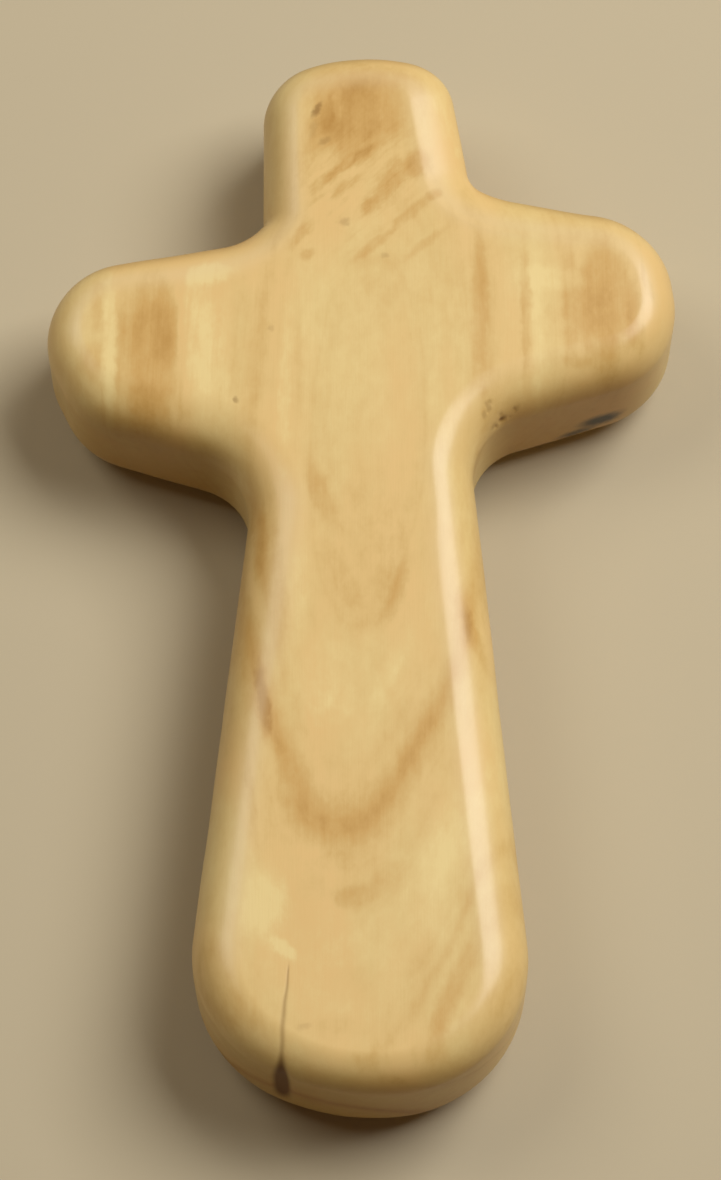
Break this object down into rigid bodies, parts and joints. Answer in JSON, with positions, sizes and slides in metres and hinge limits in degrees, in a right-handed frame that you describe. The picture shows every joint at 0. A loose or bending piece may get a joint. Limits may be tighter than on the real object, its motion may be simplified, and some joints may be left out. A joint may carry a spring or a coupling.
{
  "type": "holding cross",
  "caption": "Palm-sized holding cross with an uneven, softly rounded outline and rolled edges, carved whole from pale oiled hardwood.",
  "frame": {"origin": "middle of the length and of the width, on the flat back face", "axes": "+X out along the right arm as seen from the front, +Y towards the head, +Z out of the front face"},
  "size_m": [0.0654, 0.1124, 0.0175],
  "materials": {
    "oiled_wood": "hand sanded, oiled and waxed to a satin sheen, with the grain running from foot to head"
  },
  "bodies": {
    "root": {"carved_cross": "oiled_wood"}
  },
  "joints": []
}
